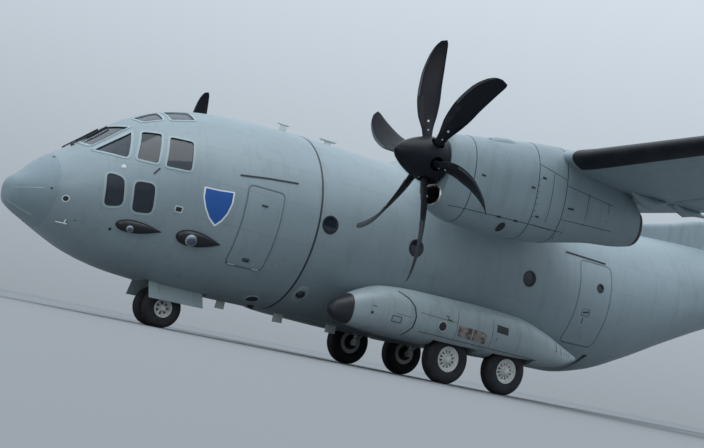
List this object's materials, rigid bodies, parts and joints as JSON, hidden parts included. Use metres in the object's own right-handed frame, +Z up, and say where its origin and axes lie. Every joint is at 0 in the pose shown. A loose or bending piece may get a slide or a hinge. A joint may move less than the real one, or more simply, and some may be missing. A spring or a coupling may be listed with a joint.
{
  "type": "military transport plane",
  "caption": "High-wing propeller transport plane with a rear loading ramp, wheel sponsons, swept tail fin and retractable gear shown down.",
  "frame": {"origin": "centre of the bounding box at the ground under the wheels", "axes": "+X forward, +Y to port along the span, +Z up"},
  "size_m": [22.7, 28.7, 9.64],
  "materials": {
    "grey_paint": "satin grey-green paint",
    "dark_paint": "satin near-black paint",
    "glazing": "clear",
    "tyre_rubber": "matt",
    "hub_paint": "gloss white paint",
    "leg_steel": "satin",
    "floor_metal": "worn"
  },
  "bodies": {
    "airframe": {"radome": "grey_paint", "forward_fuselage": "grey_paint", "centre_fuselage": "grey_paint", "rear_fuselage": "grey_paint", "cockpit_glazing": "glazing", "flight_deck": "floor_metal", "cargo_floor": "floor_metal", "paratroop_door_port": "grey_paint", "paratroop_door_starboard": "grey_paint", "wing_centre": "grey_paint", "wing_port": "grey_paint", "wing_starboard": "grey_paint", "wing_fairing": "grey_paint", "nacelle_port": "grey_paint", "nacelle_starboard": "grey_paint", "engine_port": "leg_steel", "engine_starboard": "leg_steel", "sponson_port": "grey_paint", "sponson_starboard": "grey_paint", "main_leg_front_port": "leg_steel", "main_leg_rear_port": "leg_steel", "main_leg_front_starboard": "leg_steel", "main_leg_rear_starboard": "leg_steel", "nose_leg": "leg_steel", "nose_gear_door_port": "grey_paint", "nose_gear_door_starboard": "grey_paint", "fin": "grey_paint", "tailplane": "grey_paint"},
    "propeller_port": {"propeller_port": "dark_paint", "spinner_port": "dark_paint"},
    "propeller_starboard": {"propeller_starboard": "dark_paint", "spinner_starboard": "dark_paint"},
    "flap_inner_port": {"flap_inner_port": "grey_paint"},
    "flap_outer_port": {"flap_outer_port": "grey_paint"},
    "flap_inner_starboard": {"flap_inner_starboard": "grey_paint"},
    "flap_outer_starboard": {"flap_outer_starboard": "grey_paint"},
    "aileron_port": {"aileron_port": "grey_paint"},
    "aileron_starboard": {"aileron_starboard": "grey_paint"},
    "elevator_port": {"elevator_port": "grey_paint"},
    "elevator_starboard": {"elevator_starboard": "grey_paint"},
    "rudder": {"rudder": "grey_paint"},
    "crew_door": {"crew_door": "grey_paint"},
    "cargo_ramp": {"cargo_ramp": "grey_paint"},
    "upper_cargo_door": {"upper_cargo_door": "grey_paint"},
    "nose_fork": {"nose_fork": "leg_steel"},
    "nose_wheels": {"nose_wheels": "hub_paint", "nose_tyre_port": "tyre_rubber", "nose_tyre_starboard": "tyre_rubber"},
    "main_wheel_front_port": {"main_wheel_front_port": "hub_paint", "main_tyre_front_port": "tyre_rubber"},
    "main_wheel_front_starboard": {"main_wheel_front_starboard": "hub_paint", "main_tyre_front_starboard": "tyre_rubber"},
    "main_wheel_rear_port": {"main_wheel_rear_port": "hub_paint", "main_tyre_rear_port": "tyre_rubber"},
    "main_wheel_rear_starboard": {"main_wheel_rear_starboard": "hub_paint", "main_tyre_rear_starboard": "tyre_rubber"}
  },
  "joints": [
    {"name": "propeller_spin_port", "type": "hinge", "parent": "airframe", "child": "propeller_port", "pos_m": [5.95, 4.75, 3.6], "axis": [1, 0, 0], "continuous": true},
    {"name": "propeller_spin_starboard", "type": "hinge", "parent": "airframe", "child": "propeller_starboard", "pos_m": [5.95, -4.75, 3.6], "axis": [1, 0, 0], "continuous": true},
    {"name": "flap_inner_port", "type": "hinge", "parent": "airframe", "child": "flap_inner_port", "pos_m": [0.82066, 3.805, 4.21051], "axis": [0, -1, 0], "range_deg": [0, 40]},
    {"name": "flap_outer_port", "type": "hinge", "parent": "airframe", "child": "flap_outer_port", "pos_m": [1.11239, 7.675, 4.3117], "axis": [-0.1424, -0.9886, -0.0494], "range_deg": [0, 40]},
    {"name": "flap_inner_starboard", "type": "hinge", "parent": "airframe", "child": "flap_inner_starboard", "pos_m": [0.82066, -3.805, 4.21051], "axis": [0, -1, 0], "range_deg": [0, 40]},
    {"name": "flap_outer_starboard", "type": "hinge", "parent": "airframe", "child": "flap_outer_starboard", "pos_m": [1.11239, -7.675, 4.3117], "axis": [0.1424, -0.9886, 0.0494], "range_deg": [0, 40]},
    {"name": "aileron_port", "type": "hinge", "parent": "airframe", "child": "aileron_port", "pos_m": [1.70666, 11.8, 4.51784], "axis": [0.1424, 0.9886, 0.0494], "range_deg": [-20, 20]},
    {"name": "aileron_starboard", "type": "hinge", "parent": "airframe", "child": "aileron_starboard", "pos_m": [1.70666, -11.8, 4.51784], "axis": [-0.1424, 0.9886, -0.0494], "range_deg": [-20, 20]},
    {"name": "elevator_port", "type": "hinge", "parent": "airframe", "child": "elevator_port", "pos_m": [-9.34871, 3.45, 4.68], "axis": [-0.0077, 1, 0], "range_deg": [-15, 25]},
    {"name": "elevator_starboard", "type": "hinge", "parent": "airframe", "child": "elevator_starboard", "pos_m": [-9.34871, -3.45, 4.68], "axis": [0.0077, 1, 0], "range_deg": [-15, 25]},
    {"name": "rudder", "type": "hinge", "parent": "airframe", "child": "rudder", "pos_m": [-9.80665, 0, 7.29], "axis": [-0.3279, 0, 0.9447], "range_deg": [-25, 25]},
    {"name": "crew_door", "type": "hinge", "parent": "airframe", "child": "crew_door", "pos_m": [7.17, 1.385, 1.379], "axis": [-1, 0, 0], "range_deg": [0, 120]},
    {"name": "cargo_ramp", "type": "hinge", "parent": "airframe", "child": "cargo_ramp", "pos_m": [-1.67, 0, 0.8], "axis": [0, -1, 0], "range_deg": [0, 33]},
    {"name": "upper_cargo_door", "type": "hinge", "parent": "airframe", "child": "upper_cargo_door", "pos_m": [-7.75, 0, 3.22], "axis": [0, -1, 0], "range_deg": [0, 24]},
    {"name": "nose_steering", "type": "hinge", "parent": "airframe", "child": "nose_fork", "pos_m": [8.07, 0, 0.6], "axis": [0, 0, 1], "range_deg": [-50, 50]},
    {"name": "nose_wheel_spin", "type": "hinge", "parent": "nose_fork", "child": "nose_wheels", "pos_m": [8.07, 0, 0.3685], "axis": [0, 1, 0], "continuous": true},
    {"name": "main_wheel_spin_front_port", "type": "hinge", "parent": "airframe", "child": "main_wheel_front_port", "pos_m": [2.598, 1.834, 0.495], "axis": [0, 1, 0], "continuous": true},
    {"name": "main_wheel_spin_front_starboard", "type": "hinge", "parent": "airframe", "child": "main_wheel_front_starboard", "pos_m": [2.598, -1.834, 0.495], "axis": [0, 1, 0], "continuous": true},
    {"name": "main_wheel_spin_rear_port", "type": "hinge", "parent": "airframe", "child": "main_wheel_rear_port", "pos_m": [1.082, 1.834, 0.495], "axis": [0, 1, 0], "continuous": true},
    {"name": "main_wheel_spin_rear_starboard", "type": "hinge", "parent": "airframe", "child": "main_wheel_rear_starboard", "pos_m": [1.082, -1.834, 0.495], "axis": [0, 1, 0], "continuous": true}
  ],
  "couplings": [
    {"joint": "flap_outer_port", "follows": "flap_inner_port", "ratio": 1},
    {"joint": "flap_inner_starboard", "follows": "flap_inner_port", "ratio": 1},
    {"joint": "flap_outer_starboard", "follows": "flap_inner_port", "ratio": 1},
    {"joint": "aileron_starboard", "follows": "aileron_port", "ratio": -1},
    {"joint": "elevator_starboard", "follows": "elevator_port", "ratio": 1}
  ]
}
